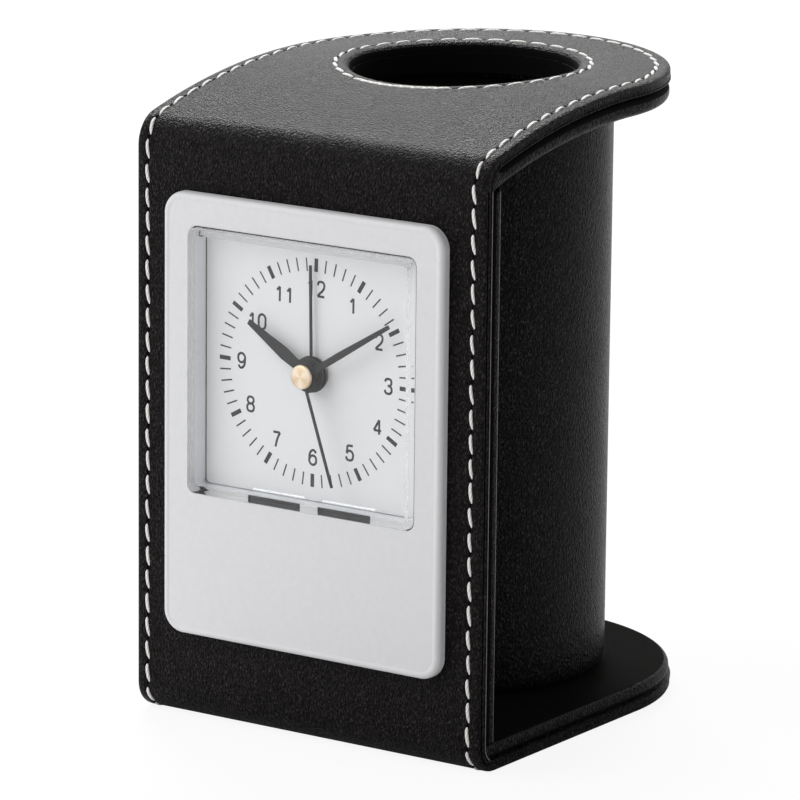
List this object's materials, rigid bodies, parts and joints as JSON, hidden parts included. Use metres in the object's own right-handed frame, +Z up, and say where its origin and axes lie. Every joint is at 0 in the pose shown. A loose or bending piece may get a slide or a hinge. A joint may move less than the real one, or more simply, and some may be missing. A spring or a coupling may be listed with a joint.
{
  "type": "desk clock pen holder",
  "caption": "Stitched black leather wrap bent into a C, holding a round pen cup behind a square-faced quartz alarm clock in a silver bezel.",
  "frame": {"origin": "middle of the bounding box, on the underside that stands on the desk", "axes": "+Z up, the dial faces -Y, +X to the right of someone who reads the clock"},
  "size_m": [0.0726, 0.0902, 0.1125],
  "materials": {
    "leather": "black grained leatherette",
    "board": "board covered in black leatherette",
    "tube_core": "black lined board tube",
    "bezel": "satin silver paint",
    "crystal": "clear moulded acrylic",
    "dial": "printed matt white",
    "hand": "dark grey paint",
    "brass": "turned",
    "steel": "plated",
    "black_plastic": "moulded",
    "white_plastic": "moulded",
    "circuit": "lacquered circuit board",
    "cell": "printed sleeve"
  },
  "bodies": {
    "holder": {"outer_wrap": "leather", "top_board": "board", "front_board": "board", "base_board": "board", "pen_tube": "tube_core", "tube_skin": "leather", "bezel": "bezel", "crystal": "crystal", "dial": "dial", "clock_case": "black_plastic", "case_cover": "black_plastic", "case_screw_1": "steel", "case_screw_2": "steel", "case_screw_3": "steel", "case_screw_4": "steel", "battery": "cell", "contact_plus": "steel", "contact_minus": "steel", "drive_unit": "white_plastic", "circuit_board": "circuit", "buzzer": "black_plastic"},
    "minute_work": {"minute_hand": "hand", "minute_pinion": "brass"},
    "hour_work": {"hour_hand": "hand", "hour_wheel": "white_plastic"},
    "second_work": {"second_hand": "hand", "second_cap": "brass", "second_arbor": "steel"},
    "alarm_work": {"alarm_hand": "hand", "alarm_wheel": "white_plastic"},
    "time_setting": {"setting_wheel": "white_plastic", "time_knob": "black_plastic"},
    "alarm_setting": {"alarm_pinion": "white_plastic", "alarm_knob": "white_plastic"},
    "alarm_slider": {"alarm_switch": "white_plastic"},
    "battery_lid": {"battery_cover": "black_plastic"}
  },
  "joints": [
    {"name": "minute_spin", "type": "hinge", "parent": "holder", "child": "minute_work", "pos_m": [0, -0.0367, 0.065], "axis": [0, 1, 0], "continuous": true},
    {"name": "hour_spin", "type": "hinge", "parent": "holder", "child": "hour_work", "pos_m": [0, -0.0367, 0.065], "axis": [0, 1, 0], "continuous": true},
    {"name": "second_spin", "type": "hinge", "parent": "holder", "child": "second_work", "pos_m": [0, -0.0367, 0.065], "axis": [0, 1, 0], "continuous": true},
    {"name": "alarm_spin", "type": "hinge", "parent": "holder", "child": "alarm_work", "pos_m": [0, -0.0367, 0.065], "axis": [0, 1, 0], "continuous": true},
    {"name": "time_set_spin", "type": "hinge", "parent": "holder", "child": "time_setting", "pos_m": [0.0094, -0.0367, 0.06158], "axis": [0, 1, 0], "continuous": true},
    {"name": "alarm_set_spin", "type": "hinge", "parent": "holder", "child": "alarm_setting", "pos_m": [-0.01034, -0.0367, 0.06124], "axis": [0, 1, 0], "continuous": true},
    {"name": "alarm_switch_slide", "type": "slide", "parent": "holder", "child": "alarm_slider", "axis": [1, 0, 0], "range_m": [0, 0.003]},
    {"name": "battery_cover_slide", "type": "slide", "parent": "holder", "child": "battery_lid", "axis": [1, 0, 0], "range_m": [0, 0.051]}
  ],
  "couplings": [
    {"joint": "hour_spin", "follows": "minute_spin", "ratio": 0.083333},
    {"joint": "time_set_spin", "follows": "minute_spin", "ratio": -0.33333},
    {"joint": "alarm_set_spin", "follows": "alarm_spin", "ratio": -2.6667}
  ]
}
